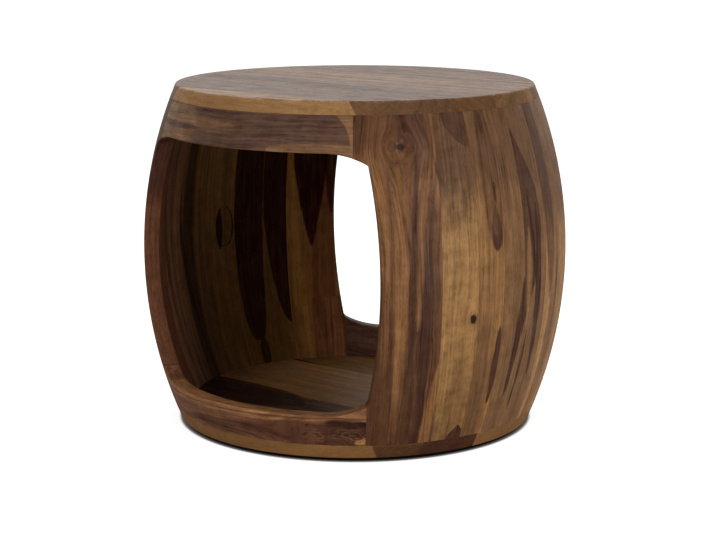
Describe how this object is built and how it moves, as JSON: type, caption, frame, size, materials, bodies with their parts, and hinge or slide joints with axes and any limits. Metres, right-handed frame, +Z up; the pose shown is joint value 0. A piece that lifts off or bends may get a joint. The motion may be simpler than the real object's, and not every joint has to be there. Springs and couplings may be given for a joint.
{
  "type": "round side table",
  "caption": "Round barrel side table of solid wood staves with a flat plank top and a wide opening right through its bulging wall, leaving an open shelf space inside.",
  "frame": {"origin": "on the floor at the centre of the barrel", "axes": "+Z up, the front opening faces -Y and the rear one +Y, the stave walls stand at -X and +X"},
  "size_m": [0.587, 0.538, 0.47],
  "materials": {
    "top_wood": "satin oiled hardwood",
    "base_wood": "satin oiled hardwood",
    "stave_wood": "satin oiled hardwood",
    "rail_wood": "satin oiled hardwood",
    "dowel_wood": "plain turned beech",
    "glide_plastic": "moulded dark plastic",
    "nail_steel": "bright steel"
  },
  "bodies": {
    "root": {"top_plank_1": "top_wood", "top_plank_2": "top_wood", "top_plank_3": "top_wood", "top_plank_4": "top_wood", "top_plank_5": "top_wood", "top_plank_6": "top_wood", "base_plank_1": "base_wood", "base_plank_2": "base_wood", "base_plank_3": "base_wood", "base_plank_4": "base_wood", "base_plank_5": "base_wood", "base_plank_6": "base_wood", "right_stave_1": "stave_wood", "right_stave_2": "stave_wood", "right_stave_3": "stave_wood", "right_stave_4": "stave_wood", "right_stave_5": "stave_wood", "right_stave_6": "stave_wood", "right_stave_7": "stave_wood", "right_stave_8": "stave_wood", "left_stave_1": "stave_wood", "left_stave_2": "stave_wood", "left_stave_3": "stave_wood", "left_stave_4": "stave_wood", "left_stave_5": "stave_wood", "left_stave_6": "stave_wood", "left_stave_7": "stave_wood", "left_stave_foot": "stave_wood", "front_lintel": "rail_wood", "rear_lintel": "rail_wood", "front_sill": "rail_wood", "rear_sill": "rail_wood", "top_dowels": "dowel_wood", "base_dowels": "dowel_wood", "lintel_dowels": "dowel_wood", "sill_dowels": "dowel_wood", "floor_glides": "glide_plastic", "glide_nails": "nail_steel"}
  },
  "joints": []
}
